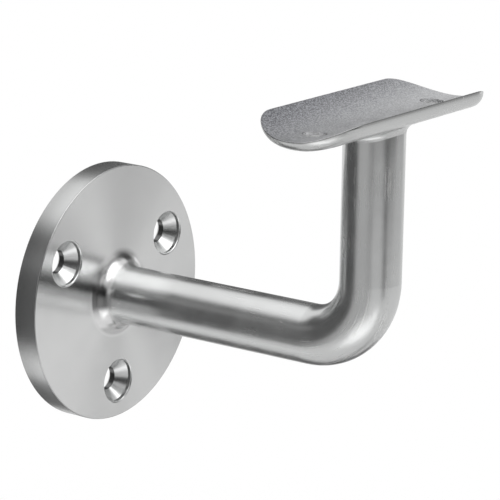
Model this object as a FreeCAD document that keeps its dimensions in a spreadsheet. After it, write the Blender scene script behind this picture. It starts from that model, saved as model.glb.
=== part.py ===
"""Wall bracket for a round handrail: one stainless casting.

A round plate is screwed to the wall, a bent rod carries a thin saddle, and the rail lies in the saddle.
Frame, in millimetres: the origin is the centre of the plate's wall face, +Y points into the wall,
the rod leaves along -Y and turns up along +Z, and the rail runs along X.
"""
import FreeCAD, Part
import math
import os
import Sketcher

# Driving dimensions: name, value and what it measures. Lengths in millimetres, angles in degrees.
SIZES = [
    ("plate_diameter", 70, "wall plate across its rim"),
    ("plate_thickness", 6.7, "wall face to front face"),
    ("plate_edge_radius", 0.25, "rounding of the front edge"),
    ("screw_circle_diameter", 50, "circle through the wall screw holes"),
    ("screw_count", 3, "wall screw holes"),
    ("screw_hole_diameter", 6.5, "through hole for a wall screw"),
    ("sink_diameter", 11.8, "recess for the head of a wall screw"),
    ("sink_wall_depth", 1.2, "straight part of the recess below the front face"),
    ("sink_angle", 90, "cone under the screw head"),
    ("sink_lip_radius", 0.45, "rounded mouth of the recess"),
    ("hole_back_chamfer", 1.2, "edge of the screw hole on the wall side"),
    ("rod_diameter", 15.8, "arm and post"),
    ("rod_bend_radius", 17, "centre line of the bend"),
    ("arm_root_radius", 4.5, "fillet where the arm leaves the plate"),
    ("post_top_radius", 2.5, "fillet where the post meets the saddle"),
    ("rail_reach", 87.5, "wall face to the centre line of the rail"),
    ("seat_height", 59, "centre line of the arm to the bottom of the rail"),
    ("rail_diameter", 48.3, "tube that lies in the saddle"),
    ("saddle_length", 75.6, "along the rail"),
    ("saddle_width", 27.8, "across the rail, seen from above"),
    ("saddle_thickness", 2.7, "saddle at the bottom of the rail"),
    ("saddle_corner_radius", 12.4, "corners of the saddle, seen from above"),
    ("saddle_belly_radius", 4, "rounding of the underside up to the rim"),
    ("saddle_rim_radius", 0.15, "rounding of the rim itself"),
    ("rail_screw_spacing", 53.5, "between the two rail screws, along the rail"),
    ("rail_screw_diameter", 6.2, "through hole for a rail screw"),
    ("rail_sink_diameter", 10, "countersink of a rail screw, at the underside"),
    ("rail_sink_angle", 90, "cone over the head of a rail screw"),
]

# Measures built from the sizes, as the sheet's own formulas: the height of the rail's centre line, and
# how far the rim stays inside the ends of the block when the belly's rounding reaches past the rim.
RAIL_AXIS_HEIGHT = "(sizes.seat_height + sizes.rail_diameter / 2)"
BELLY_EXCESS = "max(0; sizes.saddle_belly_radius - sizes.saddle_thickness)"
RIM_INSET = f"(sizes.saddle_belly_radius - sqrt(sizes.saddle_belly_radius^2 - {BELLY_EXCESS}^2))"

NEAR = 1e-4
EDGE_SAMPLES = 5


def fill_sheet(document):
    """The sheet of driving dimensions: a name, a value with an alias, and a note in each row."""
    sheet = document.addObject("Spreadsheet::Sheet", "sizes")
    for row, (name, value, note) in enumerate(SIZES, start=1):
        sheet.set(f"A{row}", name)
        sheet.set(f"B{row}", str(value))
        sheet.set(f"C{row}", note)
        sheet.setAlias(f"B{row}", name)
    document.recompute()
    return sheet


def origin_feature(body, role):
    """One of the body's own origin planes or axes."""
    return next(feature for feature in body.Origin.OriginFeatures if feature.Role == role)


def new_sketch(body, name, plane, shift=None):
    """A sketch on one of the body's planes; shift moves its origin by expressions of the sizes."""
    sketch = body.newObject("Sketcher::SketchObject", name)
    sketch.AttachmentSupport = [(origin_feature(body, plane), "")]
    sketch.MapMode = "FlatFace"
    for axis, expression in (shift or {}).items():
        sketch.setExpression(f"AttachmentOffset.Base.{axis}", expression)
    body.Document.recompute()
    return sketch


def constrain(sketch, constraint, expression=None):
    """Add a constraint, bound to an expression of the sizes where one is given."""
    number = sketch.addConstraint(constraint)
    if expression:
        sketch.setExpression(f"Constraints[{number}]", expression)


def hold(sketch, curve, end, across, up):
    """Hold one point of a curve at two distances from the sketch's origin."""
    for kind, axis_line, expression in (("DistanceX", -2, across), ("DistanceY", -1, up)):
        distance = float(sketch.evalExpression(expression))
        if abs(distance) < NEAR:
            constrain(sketch, Sketcher.Constraint("PointOnObject", curve, end, axis_line))
        elif distance > 0:
            constrain(sketch, Sketcher.Constraint(kind, -1, 1, curve, end, distance), expression)
        else:
            constrain(sketch, Sketcher.Constraint(kind, curve, end, -1, 1, -distance), f"-({expression})")


def draw_circle(sketch, diameter, across="0", up="0"):
    """A circle whose centre and diameter follow the sizes."""
    centre = FreeCAD.Vector(float(sketch.evalExpression(across)), float(sketch.evalExpression(up)), 0)
    width = float(sketch.evalExpression(diameter))
    curve = sketch.addGeometry(Part.Circle(centre, FreeCAD.Vector(0, 0, 1), width / 2))
    hold(sketch, curve, 3, across, up)
    constrain(sketch, Sketcher.Constraint("Diameter", curve, width), diameter)


def draw_path(sketch, corners, closed):
    """Lines and arcs through the corners.

    A corner is (across, up) after a line, or (across, up, radius, turn) after an arc that turns
    "left" or "right"; all but the turn are expressions of the sizes.
    """
    points = [FreeCAD.Vector(*(float(sketch.evalExpression(text)) for text in corner[:2]), 0) for corner in corners]
    first_end, last_end = None, None
    order = list(range(1, len(corners))) + ([0] if closed else [])
    for index in order:
        start, goal = points[index - 1], points[index]
        if len(corners[index]) == 2:
            curve = sketch.addGeometry(Part.LineSegment(start, goal))
            start_end, goal_end = 1, 2
        else:
            radius_text, turn = corners[index][2:]
            radius = float(sketch.evalExpression(radius_text))
            side = 1 if turn == "left" else -1
            chord = goal - start
            normal = FreeCAD.Vector(-chord.y, chord.x, 0).normalize() * side
            centre = start + chord / 2 + normal * math.sqrt(radius ** 2 - (chord.Length / 2) ** 2)
            begin, finish = (start, goal) if turn == "left" else (goal, start)
            angles = [math.atan2(point.y - centre.y, point.x - centre.x) for point in (begin, finish)]
            circle = Part.Circle(centre, FreeCAD.Vector(0, 0, 1), radius)
            curve = sketch.addGeometry(Part.ArcOfCircle(circle, *angles))
            start_end, goal_end = (1, 2) if turn == "left" else (2, 1)
            constrain(sketch, Sketcher.Constraint("Radius", curve, radius), radius_text)
        if last_end is None:
            first_end = (curve, start_end)
        else:
            sketch.addConstraint(Sketcher.Constraint("Coincident", *last_end, curve, start_end))
        hold(sketch, curve, goal_end, *corners[index][:2])
        last_end = (curve, goal_end)
    if closed:
        sketch.addConstraint(Sketcher.Constraint("Coincident", *last_end, *first_end))
    else:
        hold(sketch, *first_end, *corners[0][:2])


def new_feature(body, kind, name, profile=None):
    """A PartDesign feature at the tip of the body."""
    feature = body.newObject(f"PartDesign::{kind}", name)
    if profile:
        feature.Profile = profile
    return feature


def round_edges(body, name, base, radius, is_wanted):
    """Fillet every edge of base whose points all pass the test."""
    wanted = []
    for number, edge in enumerate(base.Shape.Edges, start=1):
        if edge.Length < NEAR:
            continue
        first, last = edge.ParameterRange
        samples = [first + (last - first) * step / (EDGE_SAMPLES - 1) for step in range(EDGE_SAMPLES)]
        if all(is_wanted(edge.valueAt(sample)) for sample in samples):
            wanted.append(f"Edge{number}")
    if not wanted:
        raise RuntimeError(f"{name} finds no edge")
    fillet = new_feature(body, "Fillet", name)
    fillet.Base = (base, wanted)
    fillet.setExpression("Radius", radius)
    body.Document.recompute()
    return fillet


def saddle_block(body, sizes):
    """A tall block under the rail, rounded off below and at its corners; the seat is cut out of it later."""
    half_width = "sizes.saddle_width / 2"
    outer_radius = "sizes.rail_diameter / 2 + sizes.saddle_thickness"
    side_foot = f"{RAIL_AXIS_HEIGHT} - sqrt(({outer_radius})^2 - ({half_width})^2)"
    section = new_sketch(body, "saddle_section", "YZ_Plane", {"x": "-sizes.rail_reach"})
    draw_path(section, [
        (f"-({half_width})", side_foot),
        (half_width, side_foot, outer_radius, "left"),
        (half_width, RAIL_AXIS_HEIGHT),
        (f"-({half_width})", RAIL_AXIS_HEIGHT),
    ], closed=True)
    block = new_feature(body, "Pad", "saddle_pad", section)
    block.SideType = "Symmetric"
    block.setExpression("Length", f"sizes.saddle_length + 2 * {RIM_INSET}")
    body.Document.recompute()
    block_end = block.Length.Value / 2

    def at_corner(point):
        return (abs(abs(point.x) - block_end) < NEAR
                and abs(abs(point.y + sizes.rail_reach) - sizes.saddle_width / 2) < NEAR)

    corner_radius = "min(sizes.saddle_corner_radius; 0.48 * min(sizes.saddle_width; sizes.saddle_length))"
    corners = round_edges(body, "saddle_corners", block, corner_radius, at_corner)
    axis_height = sizes.seat_height + sizes.rail_diameter / 2
    belly = sizes.rail_diameter / 2 + sizes.saddle_thickness

    def on_lower_edge(point):
        return abs(math.hypot(point.y + sizes.rail_reach, point.z - axis_height) - belly) < NEAR

    return round_edges(body, "saddle_belly", corners, "sizes.saddle_belly_radius", on_lower_edge)


def wall_plate(body, sizes):
    """The round plate, from the wall face outwards, with its front edge rounded."""
    outline = new_sketch(body, "plate_outline", "XZ_Plane")
    draw_circle(outline, "sizes.plate_diameter")
    plate = new_feature(body, "Pad", "plate_pad", outline)
    plate.setExpression("Length", "sizes.plate_thickness")
    body.Document.recompute()

    def on_front_edge(point):
        return (abs(point.y + sizes.plate_thickness) < NEAR
                and abs(math.hypot(point.x, point.z) - sizes.plate_diameter / 2) < NEAR)

    edge_radius = "min(sizes.plate_edge_radius; 0.45 * sizes.plate_thickness)"
    return round_edges(body, "plate_edge", plate, edge_radius, on_front_edge)


def bent_rod(body):
    """Arm, bend and post in one sweep, from the wall face up through the saddle."""
    profile = new_sketch(body, "rod_profile", "XZ_Plane")
    draw_circle(profile, "sizes.rod_diameter")
    line = new_sketch(body, "rod_line", "YZ_Plane")
    draw_path(line, [
        ("0", "0"),
        ("-(sizes.rail_reach - sizes.rod_bend_radius)", "0"),
        ("-sizes.rail_reach", "sizes.rod_bend_radius", "sizes.rod_bend_radius", "right"),
        ("-sizes.rail_reach", "sizes.seat_height + sizes.rod_diameter / 2"),
    ], closed=False)
    rod = new_feature(body, "AdditivePipe", "rod_sweep", profile)
    rod.Spine = (line, [f"Edge{number}" for number in range(1, 4)])
    body.Document.recompute()
    return rod


def rail_seat(body, sizes):
    """The round trough that the rail lies in, with its rim rounded."""
    tube = new_sketch(body, "rail_section", "YZ_Plane", {"x": "-sizes.rail_reach"})
    draw_circle(tube, "sizes.rail_diameter", up=RAIL_AXIS_HEIGHT)
    seat = new_feature(body, "Pocket", "seat_pocket", tube)
    seat.Type = "Length"
    seat.SideType = "Symmetric"
    seat.setExpression("Length", "2 * sizes.saddle_length")
    body.Document.recompute()
    axis_height = sizes.seat_height + sizes.rail_diameter / 2

    def on_rim(point):
        return abs(math.hypot(point.y + sizes.rail_reach, point.z - axis_height) - sizes.rail_diameter / 2) < NEAR

    return round_edges(body, "saddle_rim", seat, "sizes.saddle_rim_radius", on_rim)


def rod_fillets(body, sizes, base):
    """The cast fillets at both ends of the rod."""
    rod_radius = sizes.rod_diameter / 2

    def at_root(point):
        return (abs(point.y + sizes.plate_thickness) < NEAR
                and abs(math.hypot(point.x, point.z) - rod_radius) < NEAR)

    root = round_edges(body, "arm_root", base, "sizes.arm_root_radius", at_root)

    def at_post_top(point):
        return (point.z > sizes.seat_height / 2
                and abs(math.hypot(point.x, point.y + sizes.rail_reach) - rod_radius) < NEAR)

    room = "((sizes.saddle_width - sizes.rod_diameter) / 2 - sizes.saddle_belly_radius / 2)"
    return round_edges(body, "post_top", root, f"min(sizes.post_top_radius; 0.75 * {room})", at_post_top)


def wall_screw_holes(body):
    """Screw holes round the arm, each with a coned recess for the screw head; one hole is at the bottom."""
    front = "sizes.plate_thickness"
    sink = "sizes.sink_diameter / 2"
    hole = "sizes.screw_hole_diameter / 2"
    lip = "sizes.sink_lip_radius"
    cone_depth = f"({sink} - {hole}) / tan(sizes.sink_angle * 1deg / 2)"
    profile = new_sketch(body, "screw_hole_profile", "YZ_Plane", {"y": "-sizes.screw_circle_diameter / 2"})
    draw_path(profile, [
        ("0", "0"),
        ("0", f"{hole} + sizes.hole_back_chamfer"),
        ("-sizes.hole_back_chamfer", hole),
        (f"-({front} - sizes.sink_wall_depth - {cone_depth})", hole),
        (f"-({front} - sizes.sink_wall_depth)", sink),
        (f"-({front} - {lip})", sink),
        (f"-{front}", f"{sink} + {lip}", lip, "right"),
        (f"-{front}", "0"),
    ], closed=True)
    groove = new_feature(body, "Groove", "screw_hole_groove", profile)
    groove.ReferenceAxis = (profile, ["H_Axis"])
    groove.Angle = 360
    body.Document.recompute()
    holes = new_feature(body, "PolarPattern", "screw_hole_pattern")
    holes.Originals = [groove]
    holes.Axis = (origin_feature(body, "Y_Axis"), [""])
    holes.Angle = 360
    holes.setExpression("Occurrences", "sizes.screw_count")
    body.Tip = holes
    body.Document.recompute()


def rail_screw_holes(body):
    """Two holes along the saddle for the screws that hold the rail, countersunk from below."""
    underside = "(sizes.seat_height - sizes.saddle_thickness)"
    sink = "sizes.rail_sink_diameter / 2"
    hole = "sizes.rail_screw_diameter / 2"
    slope = "tan(sizes.rail_sink_angle * 1deg / 2)"
    foot = f"{underside} - sizes.saddle_thickness"
    top = "sizes.seat_height + sizes.saddle_thickness"
    place = {"x": "sizes.rail_screw_spacing / 2", "z": "sizes.rail_reach"}
    profile = new_sketch(body, "rail_screw_profile", "XZ_Plane", place)
    draw_path(profile, [
        ("0", foot),
        (f"{sink} + sizes.saddle_thickness * {slope}", foot),
        (hole, f"{underside} + ({sink} - {hole}) / {slope}"),
        (hole, top),
        ("0", top),
    ], closed=True)
    groove = new_feature(body, "Groove", "rail_screw_groove", profile)
    groove.ReferenceAxis = (profile, ["V_Axis"])
    groove.Angle = 360
    body.Document.recompute()
    holes = new_feature(body, "Mirrored", "rail_screw_pair")
    holes.Originals = [groove]
    holes.MirrorPlane = (origin_feature(body, "YZ_Plane"), [""])
    body.Tip = holes
    body.Document.recompute()


def expect_cut(body, make, *arguments):
    """Run a step that removes material and make sure that it did."""
    before = body.Shape.Volume
    result = make(body, *arguments)
    if body.Shape.Volume > before - 1:
        raise RuntimeError(f"{make.__name__} cuts nothing")
    return result


def bracket_casting(document, sizes):
    """The whole casting as one body."""
    body = document.addObject("PartDesign::Body", "bracket_casting")
    body.Label = "bracket_casting"
    body.Placement = FreeCAD.Placement()
    body.AllowCompound = True
    saddle_block(body, sizes)
    wall_plate(body, sizes)
    bent_rod(body)
    rim = expect_cut(body, rail_seat, sizes)
    rod_fillets(body, sizes, rim)
    expect_cut(body, wall_screw_holes)
    expect_cut(body, rail_screw_holes)
    return body


def check(document, bodies):
    """Stop if any feature failed or a piece is not one valid solid."""
    for item in document.Objects:
        if {"Invalid", "Error"} & set(item.State):
            raise RuntimeError(f"{item.Name} failed: {item.State}")
    for body in bodies:
        if body.Shape.isNull() or not body.Shape.isValid() or len(body.Shape.Solids) != 1:
            raise RuntimeError(f"{body.Label} is not one valid solid")


def write(bodies):
    """One STEP file for each piece, named after it."""
    os.makedirs("parts", exist_ok=True)
    for body in bodies:
        body.Shape.exportStep(f"parts/{body.Label}.step")
        box = body.Shape.optimalBoundingBox(False, False)
        print(f"{body.Label}: {body.Shape.Volume:.0f} mm3, {box.XLength:.2f} x {box.YLength:.2f} x {box.ZLength:.2f} mm")


def main():
    document = FreeCAD.newDocument("handrail_bracket")
    sizes = fill_sheet(document)
    bodies = [bracket_casting(document, sizes)]
    document.recompute()
    check(document, bodies)
    write(bodies)


main()
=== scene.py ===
# Studio scene for the handrail bracket: one casting in satin stainless steel.
# Metres, in the CAD frame: the wall face is the plane Y = 0 and the rail runs along X.
import math

import bpy
from mathutils import Matrix, Vector

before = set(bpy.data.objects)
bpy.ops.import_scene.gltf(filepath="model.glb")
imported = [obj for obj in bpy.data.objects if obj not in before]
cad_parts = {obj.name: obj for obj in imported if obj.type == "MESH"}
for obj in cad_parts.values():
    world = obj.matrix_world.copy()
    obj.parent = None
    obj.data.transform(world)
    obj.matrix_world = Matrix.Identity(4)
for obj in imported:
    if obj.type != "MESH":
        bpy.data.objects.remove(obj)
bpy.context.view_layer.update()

# ---- Camera -----------------------------------------------------------------
# Angles in degrees, lengths in metres, lens and sensor in millimetres.
AIM_POINT = Vector((0.0, -0.038, 0.010))
CAMERA_AZIMUTH = -54.73
CAMERA_ELEVATION = 14.494
CAMERA_ROLL = 0.903
CAMERA_DISTANCE = 0.66512
CAMERA_RIGHT = 0.010074
CAMERA_UP = 0.006759
CAMERA_LENS = 181.77
SENSOR_WIDTH = 36.0
NEAR_CLIP = 0.01
FAR_CLIP = 50.0


def direction(azimuth, elevation):
    """Unit vector from the object towards azimuth and elevation in degrees; azimuth 0 is -Y and 90 is +X."""
    around = math.radians(azimuth)
    upward = math.radians(elevation)
    level = math.cos(upward)
    return Vector((math.sin(around) * level, -math.cos(around) * level, math.sin(upward)))


def level_right(azimuth):
    """Level unit vector to the right of someone who looks at the object from azimuth."""
    around = math.radians(azimuth)
    return Vector((math.cos(around), math.sin(around), 0.0))


def facing_turn(right, up, back):
    """Rotation that lays local X, Y and Z along right, up and back."""
    return Matrix((right, up, back)).transposed().to_4x4()


def make_camera():
    roll = math.radians(CAMERA_ROLL)
    back = direction(CAMERA_AZIMUTH, CAMERA_ELEVATION)
    flat_right = level_right(CAMERA_AZIMUTH)
    flat_up = back.cross(flat_right)
    right = flat_right * math.cos(roll) + flat_up * math.sin(roll)
    up = flat_up * math.cos(roll) - flat_right * math.sin(roll)
    place = AIM_POINT + back * CAMERA_DISTANCE + right * CAMERA_RIGHT + up * CAMERA_UP
    data = bpy.data.cameras.new("camera")
    data.lens = CAMERA_LENS
    data.sensor_width = SENSOR_WIDTH
    data.clip_start = NEAR_CLIP
    data.clip_end = FAR_CLIP
    camera = bpy.data.objects.new("camera", data)
    camera.matrix_world = Matrix.Translation(place) @ facing_turn(right, up, back)
    bpy.context.collection.objects.link(camera)
    bpy.context.scene.camera = camera


# ---- Node helpers -------------------------------------------------------------
RISE = (0.0, 1.0)
FALL = (1.0, 0.0)
# Where a Mix node has its first input, its second input and its result.
NUMBER_SLOTS = (2, 3, 0)
COLOUR_SLOTS = (6, 7, 2)


def new_material(name):
    material = bpy.data.materials.new(name)
    material.use_nodes = True
    material.node_tree.nodes.clear()
    return material


def add_node(tree, kind, **settings):
    node = tree.nodes.new(kind)
    for key, value in settings.items():
        setattr(node, key, value)
    return node


def feed(tree, socket, value):
    """Link a node's output to the socket, or set a number or a colour on it."""
    if isinstance(value, bpy.types.NodeSocket):
        tree.links.new(value, socket)
    elif isinstance(value, tuple):
        socket.default_value = (*value, 1.0)
    else:
        socket.default_value = value


def close_material(tree, shader):
    end = add_node(tree, "ShaderNodeOutputMaterial")
    tree.links.new(shader, end.inputs["Surface"])


def math_node(tree, operation, *values):
    node = add_node(tree, "ShaderNodeMath", operation=operation)
    for socket, value in zip(node.inputs, values):
        feed(tree, socket, value)
    return node.outputs[0]


def product(tree, first, *factors):
    result = first
    for factor in factors:
        result = math_node(tree, "MULTIPLY", result, factor)
    return result


def absolute(tree, value):
    return math_node(tree, "ABSOLUTE", value)


def minus(tree, first, second):
    return math_node(tree, "SUBTRACT", first, second)


def split(tree, vector):
    node = add_node(tree, "ShaderNodeSeparateXYZ")
    tree.links.new(vector, node.inputs[0])
    return node.outputs


def combine(tree, x, y, z):
    node = add_node(tree, "ShaderNodeCombineXYZ")
    for socket, value in zip(node.inputs, (x, y, z)):
        feed(tree, socket, value)
    return node.outputs[0]


def vector_length(tree, vector):
    node = add_node(tree, "ShaderNodeVectorMath", operation="LENGTH")
    tree.links.new(vector, node.inputs[0])
    return node.outputs["Value"]


def ramp(tree, value, band, levels=RISE):
    """Smooth step from the first level to the second while the value crosses the band."""
    node = add_node(tree, "ShaderNodeMapRange", interpolation_type="SMOOTHSTEP")
    tree.links.new(value, node.inputs["Value"])
    for name, number in zip(("From Min", "From Max", "To Min", "To Max"), (*band, *levels)):
        node.inputs[name].default_value = number
    return node.outputs["Result"]


def noise(tree, vector, cells, detail=1.0, roughness=0.5):
    """Noise between 0 and 1, with this many cells per metre of the vector."""
    node = add_node(tree, "ShaderNodeTexNoise")
    tree.links.new(vector, node.inputs["Vector"])
    node.inputs["Scale"].default_value = cells
    node.inputs["Detail"].default_value = detail
    node.inputs["Roughness"].default_value = roughness
    return node.outputs["Fac"]


def mix(tree, data_type, slots, factor, first, second):
    first_slot, second_slot, result_slot = slots
    node = add_node(tree, "ShaderNodeMix", data_type=data_type, clamp_factor=True)
    tree.links.new(factor, node.inputs[0])
    feed(tree, node.inputs[first_slot], first)
    feed(tree, node.inputs[second_slot], second)
    return node.outputs[result_slot]


def blend(tree, factor, first, second):
    """Mix two numbers by a factor."""
    return mix(tree, "FLOAT", NUMBER_SLOTS, factor, first, second)


def blend_colour(tree, factor, first, second):
    """Mix two colours by a factor."""
    return mix(tree, "RGBA", COLOUR_SLOTS, factor, first, second)


# ---- Studio -------------------------------------------------------------------
WORLD_WHITE = (1.0, 1.0, 1.0)
WORLD_STRENGTH = 1.0
STUDIO_CENTRE = Vector((0.0, -0.045, 0.010))
CARD_CORNER_POWER = 6.0
FLOOR_HEIGHT = -0.9
FLOOR_HALF_WIDTH = 3.0
FLOOR_FADE = (1.2, 2.4)
FLOOR_TONE = (0.92, 0.92, 0.92)
FLOOR_ROUGHNESS = 0.7

# What the steel mirrors. Nearer cards cover the farther ones, and white shows between them.
# Each row has the name, then azimuth, elevation, half width and half height in degrees, and then
# the glow, the soft edge as a share of the half size, and the distance in metres.
CARDS = (
    ("wall_right", 64, -30, 50, 28, 0.80, 0.3, 1.5),
    ("wall_high_right", 52, 9, 46, 27, 0.40, 0.5, 1.25),
    ("wall_front", -20, -30, 44, 28, 0.76, 0.25, 1.5),
    ("wall_left", -90, -20, 38, 28, 0.52, 0.25, 1.45),
    ("mid_left", -80, 34, 42, 15, 0.60, 0.5, 1.4),
    ("mid_front", -14, 29, 34, 16, 0.65, 0.6, 1.35),
    ("key_side", -22, -42, 13, 10, 1.4, 0.7, 1.0),
    ("key_low_left", -52, -60, 30, 22, 1.65, 0.75, 1.0),
    ("dark_front", 2, 1, 36, 14, 0.02, 0.35, 1.0),
    ("dark_camera", -47, 7, 31, 19, 0.03, 0.4, 1.0),
    ("dark_right", 72, 18, 26, 14, 0.05, 0.5, 1.0),
    ("bright_right", 82, -3, 12, 7, 1.4, 0.5, 1.0),
    ("dark_left_back", -147, 4, 41, 46, 0.11, 0.4, 0.5),
    ("dark_right_back", 134, 16, 20, 30, 0.12, 0.45, 1.0),
    ("dark_low_back", 140, -54, 40, 20, 0.15, 0.4, 1.0),
    ("bright_low_back", -152, -49, 16, 11, 0.9, 0.6, 0.9),
    ("dim_left_high", -129, 24, 14, 13, 0.27, 0.8, 0.48),
    ("dim_left_low", -110, -25, 13, 10, 0.50, 0.6, 0.48),
    ("mid_right", 46, 35, 22, 10, 0.45, 0.5, 1.15),
    ("small_front", 37, 9, 13, 12, 0.95, 0.6, 1.0),
    ("dim_low_right", 92, -74, 30, 14, 0.36, 0.8, 0.95),
    ("dark_strip", -7, -16, 11, 12, 0.22, 0.95, 1.0),
    ("top_box", 0, 88, 38, 38, 1.7, 0.45, 1.0),
    ("front_top_box", -3, 56, 40, 16, 3.4, 0.75, 0.95),
)


def make_world():
    world = bpy.data.worlds.new("studio_white")
    world.use_nodes = True
    background = world.node_tree.nodes["Background"]
    background.inputs["Color"].default_value = (*WORLD_WHITE, 1.0)
    background.inputs["Strength"].default_value = WORLD_STRENGTH
    bpy.context.scene.world = world


def square_mesh(name, half_width):
    """Flat square in the XY plane, round the origin."""
    low, high = -half_width, half_width
    mesh = bpy.data.meshes.new(name)
    mesh.from_pydata([(low, low, 0), (high, low, 0), (high, high, 0), (low, high, 0)], [], [(0, 1, 2, 3)])
    return mesh


def floor_material():
    """White paint that fades out with distance, so the floor has no visible edge."""
    material = new_material("floor_white")
    tree = material.node_tree
    place = add_node(tree, "ShaderNodeTexCoord")
    cover = ramp(tree, vector_length(tree, place.outputs["Object"]), FLOOR_FADE, FALL)
    paint = add_node(tree, "ShaderNodeBsdfPrincipled")
    paint.inputs["Base Color"].default_value = (*FLOOR_TONE, 1.0)
    paint.inputs["Roughness"].default_value = FLOOR_ROUGHNESS
    tree.links.new(cover, paint.inputs["Alpha"])
    close_material(tree, paint.outputs[0])
    return material


def make_floor():
    mesh = square_mesh("floor", FLOOR_HALF_WIDTH)
    mesh.materials.append(floor_material())
    floor = bpy.data.objects.new("floor", mesh)
    floor.location = (0.0, 0.0, FLOOR_HEIGHT)
    bpy.context.collection.objects.link(floor)


def card_material(name, glow, soft):
    """Plain glowing card that fades out over the outer part of its width and height."""
    material = new_material(name)
    tree = material.node_tree
    place = add_node(tree, "ShaderNodeTexCoord")
    sides = split(tree, place.outputs["Object"])[:2]
    powers = [math_node(tree, "POWER", absolute(tree, side), CARD_CORNER_POWER) for side in sides]
    outward = math_node(tree, "POWER", math_node(tree, "ADD", *powers), 1.0 / CARD_CORNER_POWER)
    cover = ramp(tree, outward, (1.0 - soft, 1.0), FALL)
    clear = add_node(tree, "ShaderNodeBsdfTransparent")
    light = add_node(tree, "ShaderNodeEmission")
    light.inputs["Strength"].default_value = glow
    mix = add_node(tree, "ShaderNodeMixShader")
    tree.links.new(cover, mix.inputs["Fac"])
    tree.links.new(clear.outputs[0], mix.inputs[1])
    tree.links.new(light.outputs[0], mix.inputs[2])
    close_material(tree, mix.outputs[0])
    return material


def make_card(name, azimuth, elevation, half_width, half_height, glow, soft, distance):
    """Flat card that faces the object and covers its half sizes as angles; only reflections show it."""
    mesh = square_mesh(name, 1)
    mesh.materials.append(card_material(name, glow, soft))
    card = bpy.data.objects.new(name, mesh)
    back = direction(azimuth, elevation)
    right = level_right(azimuth)
    width = distance * math.tan(math.radians(half_width))
    height = distance * math.tan(math.radians(half_height))
    size = Matrix.Diagonal((width, height, 1.0, 1.0))
    place = Matrix.Translation(STUDIO_CENTRE + back * distance)
    card.matrix_world = place @ facing_turn(right, back.cross(right), back) @ size
    card.visible_camera = False
    bpy.context.collection.objects.link(card)


# ---- Places on the casting ------------------------------------------------------
# In metres.
PLATE_RADIUS = 0.035
PLATE_FRONT = -0.0067
BEND_RADIUS = 0.017
RAIL_REACH = 0.0875
SEAT_HEIGHT = 0.059
SEAT_RADIUS = 0.02415
SADDLE_HALF_LENGTH = 0.0378
SADDLE_HALF_WIDTH = 0.0139
RAIL_SCREW_X = 0.02675
RAIL_AXIS_Y = -RAIL_REACH
RAIL_AXIS_Z = SEAT_HEIGHT + SEAT_RADIUS
BEND_CENTRE_Y = RAIL_AXIS_Y + BEND_RADIUS
BEND_CENTRE_Z = BEND_RADIUS

# Bands that masks rise or fall over: distances in metres, or shares of the normal.
SEAT_EDGE = (SEAT_RADIUS + 0.00002, SEAT_RADIUS + 0.00010)
FLAT_FACING = (0.80, 0.99)
PLATE_START = (PLATE_FRONT - 0.004, PLATE_FRONT - 0.001)
ROOT_START = (PLATE_FRONT - 0.0045, PLATE_FRONT - 0.0020)
ROOT_END = (PLATE_FRONT, PLATE_FRONT - 0.0002)
SEAT_FORWARD = (0.068, 0.100)
SEAT_FORWARD_SLANT = 0.12


class Places:
    """Position, distances and masks that the finishes share; a mask is 1 on what it is named after."""

    def __init__(self, tree):
        coordinates = add_node(tree, "ShaderNodeTexCoord")
        self.point = coordinates.outputs["Object"]
        self.x, self.y, self.z = split(tree, self.point)
        self.parallel_to_wall = absolute(tree, split(tree, coordinates.outputs["Normal"])[1])
        self.past_axis = minus(tree, self.y, RAIL_AXIS_Y)
        above_axis = minus(tree, self.z, RAIL_AXIS_Z)
        self.rail_distance = vector_length(tree, combine(tree, 0.0, self.past_axis, above_axis))
        self.plate_distance = vector_length(tree, combine(tree, self.x, 0.0, self.z))
        slanted = minus(tree, product(tree, self.x, SEAT_FORWARD_SLANT), self.y)
        self.seat = ramp(tree, self.rail_distance, SEAT_EDGE, FALL)
        self.seat_front = ramp(tree, slanted, SEAT_FORWARD)
        self.near_wall = ramp(tree, self.y, PLATE_START)
        self.plate_face = product(tree, ramp(tree, self.parallel_to_wall, FLAT_FACING), self.near_wall)
        self.root = product(tree, ramp(tree, self.y, ROOT_START), ramp(tree, self.y, ROOT_END))


# ---- Fine surface ---------------------------------------------------------------
# Heights in metres and noise in cells per metre.
WAVE_HEIGHT = 0.000070
WAVE_CELLS = 70.0
RIPPLE_HEIGHT = 0.000018
RIPPLE_CELLS = 190.0
LINE_HEIGHT = 0.0000016
LINE_CELLS = 2600.0
LINE_DETAIL = 3.0
LINE_ROUGHNESS = 0.6
# Both are small, so that the lines run far along the rod and right round the plate.
LINE_SHORTENING = 0.03
RING_SPREAD = 0.0012
SCRATCH_HEIGHT = 0.000016
SCRATCH_CELLS = 1500.0
SCRATCH_BAND = (0.58, 0.66)
SCUFF_CELLS = 75.0
SCUFF_BAND = (0.50, 0.62)
GRAIN_HEIGHT = 0.000026
FRONT_GRAIN_SHARE = 0.4
GRAIN_CELLS = 2300.0
GRAIN_ROUGHNESS = 0.6


def rod_lines(tree, at, cells):
    """Noise drawn out along the rod: along the arm, round the bend and up the post."""
    from_bend_y = minus(tree, at.y, BEND_CENTRE_Y)
    from_bend_z = minus(tree, at.z, BEND_CENTRE_Z)
    outward = math_node(tree, "MINIMUM", from_bend_y, 0.0)
    downward = math_node(tree, "MINIMUM", from_bend_z, 0.0)
    across = vector_length(tree, combine(tree, 0.0, outward, downward))
    turn = math_node(tree, "ARCTAN2", product(tree, outward, -1.0), product(tree, downward, -1.0))
    arm = math_node(tree, "MAXIMUM", from_bend_y, 0.0)
    post = math_node(tree, "MAXIMUM", from_bend_z, 0.0)
    along = math_node(tree, "ADD", minus(tree, post, arm), product(tree, turn, BEND_RADIUS))
    stretched = combine(tree, at.x, across, product(tree, along, LINE_SHORTENING))
    return noise(tree, stretched, cells, LINE_DETAIL, LINE_ROUGHNESS)


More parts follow.
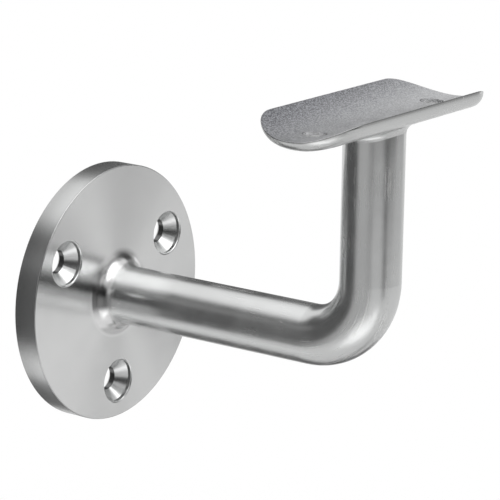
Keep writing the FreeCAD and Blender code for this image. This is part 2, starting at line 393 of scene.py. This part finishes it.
def ring_lines(tree, at):
    """Fine turning lines round the plate's centre."""
    angle = math_node(tree, "ARCTAN2", at.x, at.z)
    sine = product(tree, math_node(tree, "SINE", angle), RING_SPREAD)
    cosine = product(tree, math_node(tree, "COSINE", angle), RING_SPREAD)
    around = combine(tree, sine, cosine, at.plate_distance)
    return noise(tree, around, LINE_CELLS, LINE_DETAIL, LINE_ROUGHNESS)


def scratches(tree, at):
    """Mask of the scratches, which lie in scuffed patches and not on the plate."""
    line = ramp(tree, rod_lines(tree, at, SCRATCH_CELLS), SCRATCH_BAND)
    scuffed = ramp(tree, noise(tree, at.point, SCUFF_CELLS), SCUFF_BAND)
    off_plate = minus(tree, 1.0, at.near_wall)
    return product(tree, line, scuffed, off_plate)


def fine_height(tree, at, scratch):
    """Slight waves everywhere, with lines and scratches on the satin and grain on the seat."""
    wave = product(tree, noise(tree, at.point, WAVE_CELLS), WAVE_HEIGHT)
    ripple = product(tree, noise(tree, at.point, RIPPLE_CELLS), RIPPLE_HEIGHT)
    uneven = math_node(tree, "ADD", wave, ripple)
    lines = blend(tree, at.near_wall, rod_lines(tree, at, LINE_CELLS), ring_lines(tree, at))
    line_height = product(tree, lines, LINE_HEIGHT)
    satin = math_node(tree, "ADD", line_height, product(tree, scratch, SCRATCH_HEIGHT))
    depth = blend(tree, at.seat_front, GRAIN_HEIGHT, GRAIN_HEIGHT * FRONT_GRAIN_SHARE)
    grain = product(tree, noise(tree, at.point, GRAIN_CELLS, roughness=GRAIN_ROUGHNESS), depth)
    return math_node(tree, "ADD", uneven, blend(tree, at.seat, satin, grain))


# ---- Roughness ------------------------------------------------------------------
CLOUD_CELLS = 160.0
CLOUD_DETAIL = 3.0
CLOUD_BAND = (0.3, 0.7)
SATIN_ROUGHNESS = (0.22, 0.27)
TURNED_ROUGHNESS = (0.24, 0.27)
BLASTED_ROUGHNESS = (0.42, 0.50)
SCRATCH_ROUGHNESS = 0.34
PLATE_EDGE_ROUGHNESS = 0.25
ROOT_ROUGHNESS = 0.22
TURNED_STREAK = 1.0


def steel_roughness(tree, at, cloud, scratch):
    """Satin rod and saddle, turned plate faces and a blasted seat."""
    satin = ramp(tree, cloud, CLOUD_BAND, SATIN_ROUGHNESS)
    scratched = blend(tree, scratch, satin, SCRATCH_ROUGHNESS)
    edged = blend(tree, at.near_wall, scratched, PLATE_EDGE_ROUGHNESS)
    cast = blend(tree, at.root, edged, ROOT_ROUGHNESS)
    turned = ramp(tree, cloud, CLOUD_BAND, TURNED_ROUGHNESS)
    blasted = ramp(tree, cloud, CLOUD_BAND, BLASTED_ROUGHNESS)
    return blend(tree, at.seat, blend(tree, at.plate_face, cast, turned), blasted)


# ---- Colour ---------------------------------------------------------------------
# The metal itself: satin steel, the turned plate and the scratches. The turned finish is real; its extra
# lightness over the satin is a painted reflection.
SATIN_TONES = ((0.611, 0.617, 0.615), (0.655, 0.661, 0.659))
TURNED_PLATE_LIT_TONE = (0.766, 0.769, 0.768)
SCRATCH_TONE = (0.85, 0.85, 0.84)
SCRATCH_COVER = 0.5

# From here on, tones stand in for reflections that the cards don't give. They suit the camera's view
# and aren't the metal's own. Each cover is how far its tone hides what is below.

# The blasted seat: flecked grain, with painted shade at its wall side, painted light towards its front and
# painted shade again at the lip.
FLECK_CELLS = 2500.0
FLECK_ROUGHNESS = 0.7
FLECK_BAND = (0.38, 0.64)
SHADED_BACK_TONES = ((0.08, 0.082, 0.092), (0.29, 0.294, 0.315))
LIT_FRONT_TONES = ((0.56, 0.565, 0.575), (0.72, 0.725, 0.73))
LIP_SHADE_TONE = (0.20, 0.204, 0.21)
LIP_BAND = (RAIL_AXIS_Y - 0.0075, RAIL_AXIS_Y - 0.0135)

# The fillet at the arm's root: duller than the rod, with a painted highlight at its lower left, painted
# shade at its bottom and a painted shadow on its left side.
# Its bands are heights, or places along X, from the arm's axis.
ROOT_TONE = (0.62, 0.62, 0.62)
ROOT_PAINTED_HIGHLIGHT_TONE = (0.82, 0.82, 0.82)
ROOT_PAINTED_SHADE_TONE = (0.56, 0.56, 0.56)
ROOT_UNDER = (-0.0030, -0.0060)
ROOT_UNDER_LEFT = (-0.0010, -0.0045)
ROOT_BOTTOM = (-0.0078, -0.0092)
SHADOW_TONE = (0.08, 0.08, 0.08)
SHADOW_LEFT = (-0.0060, -0.0078)
SHADOW_COVER = 0.75
SHADOW_FLOOR = (-0.0040, -0.0015)
SHADOW_ROOF = (0.0045, 0.0015)

# Painted shade on the walls of the wall screw holes.
BORE_SHADE_TONE = (0.05, 0.05, 0.05)
BORE_COVER = 0.8
BORE_FACING = (0.45, 0.25)
BORE_START = (PLATE_FRONT + 0.0025, PLATE_FRONT + 0.0030)
BORE_REACH = (PLATE_RADIUS - 0.0025, PLATE_RADIUS - 0.0015)

# Painted shade on the plate's front edge, and on its rim and back towards the wall.
EDGE_SHADE_TONE = (0.25, 0.25, 0.25)
EDGE_COVER = 0.5
EDGE_START = (PLATE_RADIUS - 0.00030, PLATE_RADIUS - 0.00015)
EDGE_END = (PLATE_FRONT + 0.0005, PLATE_FRONT + 0.0002)
WALL_SIDE_SHADE_TONE = (0.25, 0.25, 0.25)
WALL_SIDE_COVER = 0.35
WALL_SIDE_BAND = (PLATE_FRONT + 0.0002, 0.0)

# Painted shade on the saddle's outside, on its rim and on the walls of the rail screw holes.
SADDLE_SHADE_TONE = (0.30, 0.30, 0.30)
SADDLE_COVER = 0.14
SADDLE_BAND = (SEAT_HEIGHT - 0.0055, SEAT_HEIGHT - 0.0030)
RIM_SHADE_TONE = (0.12, 0.12, 0.12)
RIM_COVER = 0.55
RIM_DEPTH = (SEAT_RADIUS + 0.0002, SEAT_RADIUS + 0.0006)
RIM_ALONG = (SADDLE_HALF_WIDTH - 0.0039, SADDLE_HALF_WIDTH - 0.0019)
RIM_END = (SADDLE_HALF_LENGTH - 0.0068, SADDLE_HALF_LENGTH - 0.0048)
SCREW_WALL_SHADE_TONE = (0.60, 0.60, 0.61)
SCREW_REACH = (0.0045, 0.0050)
SCREW_DEPTH = (SEAT_RADIUS + 0.0012, SEAT_RADIUS + 0.0009)


def root_tone_and_painted_light(tree, at):
    """Grey of the fillet at the arm's root, with a painted highlight at its lower left and painted shade at
    its bottom.
    """
    # Painted highlight at the fillet's lower left, then painted shade at its bottom.
    painted_highlight_cover = product(tree, ramp(tree, at.z, ROOT_UNDER), ramp(tree, at.x, ROOT_UNDER_LEFT))
    tone = blend_colour(tree, painted_highlight_cover, ROOT_TONE, ROOT_PAINTED_HIGHLIGHT_TONE)
    return blend_colour(tree, ramp(tree, at.z, ROOT_BOTTOM), tone, ROOT_PAINTED_SHADE_TONE)


def root_shadow(tree, at):
    """Painted shadow on the left side of the root."""
    left = ramp(tree, at.x, SHADOW_LEFT, (0.0, SHADOW_COVER))
    height = product(tree, ramp(tree, at.z, SHADOW_FLOOR), ramp(tree, at.z, SHADOW_ROOF))
    return product(tree, at.root, left, height)


def bore_wall_shade(tree, at):
    """Painted shade on the walls of the wall screw holes, below their countersinks."""
    side_wall = ramp(tree, at.parallel_to_wall, BORE_FACING)
    deep = ramp(tree, at.y, BORE_START)
    within = ramp(tree, at.plate_distance, BORE_REACH, FALL)
    return product(tree, side_wall, deep, within, BORE_COVER)


def plate_edge_shade(tree, at):
    """Thin line of painted shade where the plate's front face meets its rim."""
    outer = ramp(tree, at.plate_distance, EDGE_START)
    return product(tree, at.near_wall, outer, ramp(tree, at.y, EDGE_END), EDGE_COVER)


def saddle_rim_shade(tree, at):
    """Thin line of painted shade round the seat, on the rim of the saddle."""
    long_edge = ramp(tree, absolute(tree, at.past_axis), RIM_ALONG)
    end_edge = ramp(tree, absolute(tree, at.x), RIM_END)
    near_edge = math_node(tree, "MAXIMUM", long_edge, end_edge)
    return product(tree, ramp(tree, at.rail_distance, RIM_DEPTH, (RIM_COVER, 0.0)), near_edge)


def rail_screw_wall_shade(tree, at):
    """Slight painted shade on the walls of the rail screw holes."""
    from_screw = combine(tree, minus(tree, absolute(tree, at.x), RAIL_SCREW_X), at.past_axis, 0.0)
    near_screw = ramp(tree, vector_length(tree, from_screw), SCREW_REACH, FALL)
    return product(tree, near_screw, ramp(tree, at.rail_distance, SCREW_DEPTH))


def seat_grain_and_painted_light(tree, at):
    """Flecked grey of the blasted seat, with painted shade at its wall side and lip and painted light
    towards its front.
    """
    fleck = ramp(tree, noise(tree, at.point, FLECK_CELLS, roughness=FLECK_ROUGHNESS), FLECK_BAND)
    # Painted shade at the back and lip and painted light at the front, over the real flecked grain.
    back = blend_colour(tree, fleck, *SHADED_BACK_TONES)
    front = blend_colour(tree, fleck, *LIT_FRONT_TONES)
    lit_front_and_shaded_lip = blend_colour(tree, ramp(tree, at.y, LIP_BAND), front, LIP_SHADE_TONE)
    return blend_colour(tree, at.seat_front, back, lit_front_and_shaded_lip)


def steel_colour(tree, at, cloud, scratch):
    """The metal's own tones, and over them tones by place that stand in for missing reflections."""
    coats = (
        # The turned plate, painted lighter than the satin as a painted reflection.
        (at.plate_face, TURNED_PLATE_LIT_TONE),
        (at.root, root_tone_and_painted_light(tree, at)),
        (root_shadow(tree, at), SHADOW_TONE),
        (bore_wall_shade(tree, at), BORE_SHADE_TONE),
        (plate_edge_shade(tree, at), EDGE_SHADE_TONE),
        (saddle_rim_shade(tree, at), RIM_SHADE_TONE),
        # Painted shade on the saddle's outside.
        (ramp(tree, at.z, SADDLE_BAND, (0.0, SADDLE_COVER)), SADDLE_SHADE_TONE),
        # Painted shade on the plate's rim and back towards the wall.
        (ramp(tree, at.y, WALL_SIDE_BAND, (0.0, WALL_SIDE_COVER)), WALL_SIDE_SHADE_TONE),
        (product(tree, scratch, SCRATCH_COVER), SCRATCH_TONE),
        (rail_screw_wall_shade(tree, at), SCREW_WALL_SHADE_TONE),
        (at.seat, seat_grain_and_painted_light(tree, at)),
    )
    colour = blend_colour(tree, cloud, *SATIN_TONES)
    for cover, tone in coats:
        colour = blend_colour(tree, cover, colour, tone)
    return colour


def steel_material():
    material = new_material("satin_stainless")
    tree = material.node_tree
    at = Places(tree)
    scratch = scratches(tree, at)
    cloud = noise(tree, at.point, CLOUD_CELLS, CLOUD_DETAIL)

    bump = add_node(tree, "ShaderNodeBump")
    bump.inputs["Strength"].default_value = 1.0
    bump.inputs["Distance"].default_value = 1.0
    tree.links.new(fine_height(tree, at, scratch), bump.inputs["Height"])

    steel = add_node(tree, "ShaderNodeBsdfPrincipled")
    steel.inputs["Metallic"].default_value = 1.0
    tree.links.new(steel_colour(tree, at, cloud, scratch), steel.inputs["Base Color"])
    tree.links.new(steel_roughness(tree, at, cloud, scratch), steel.inputs["Roughness"])
    tree.links.new(bump.outputs["Normal"], steel.inputs["Normal"])
    tree.links.new(product(tree, at.plate_face, TURNED_STREAK), steel.inputs["Anisotropic"])
    tree.links.new(combine(tree, at.x, 0.0, at.z), steel.inputs["Tangent"])
    close_material(tree, steel.outputs[0])
    return material


make_camera()
make_world()
make_floor()
for card_row in CARDS:
    make_card(*card_row)
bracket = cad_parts["bracket_casting"]
bracket.data.materials.clear()
bracket.data.materials.append(steel_material())

bpy.context.scene.view_settings.view_transform = "Standard"
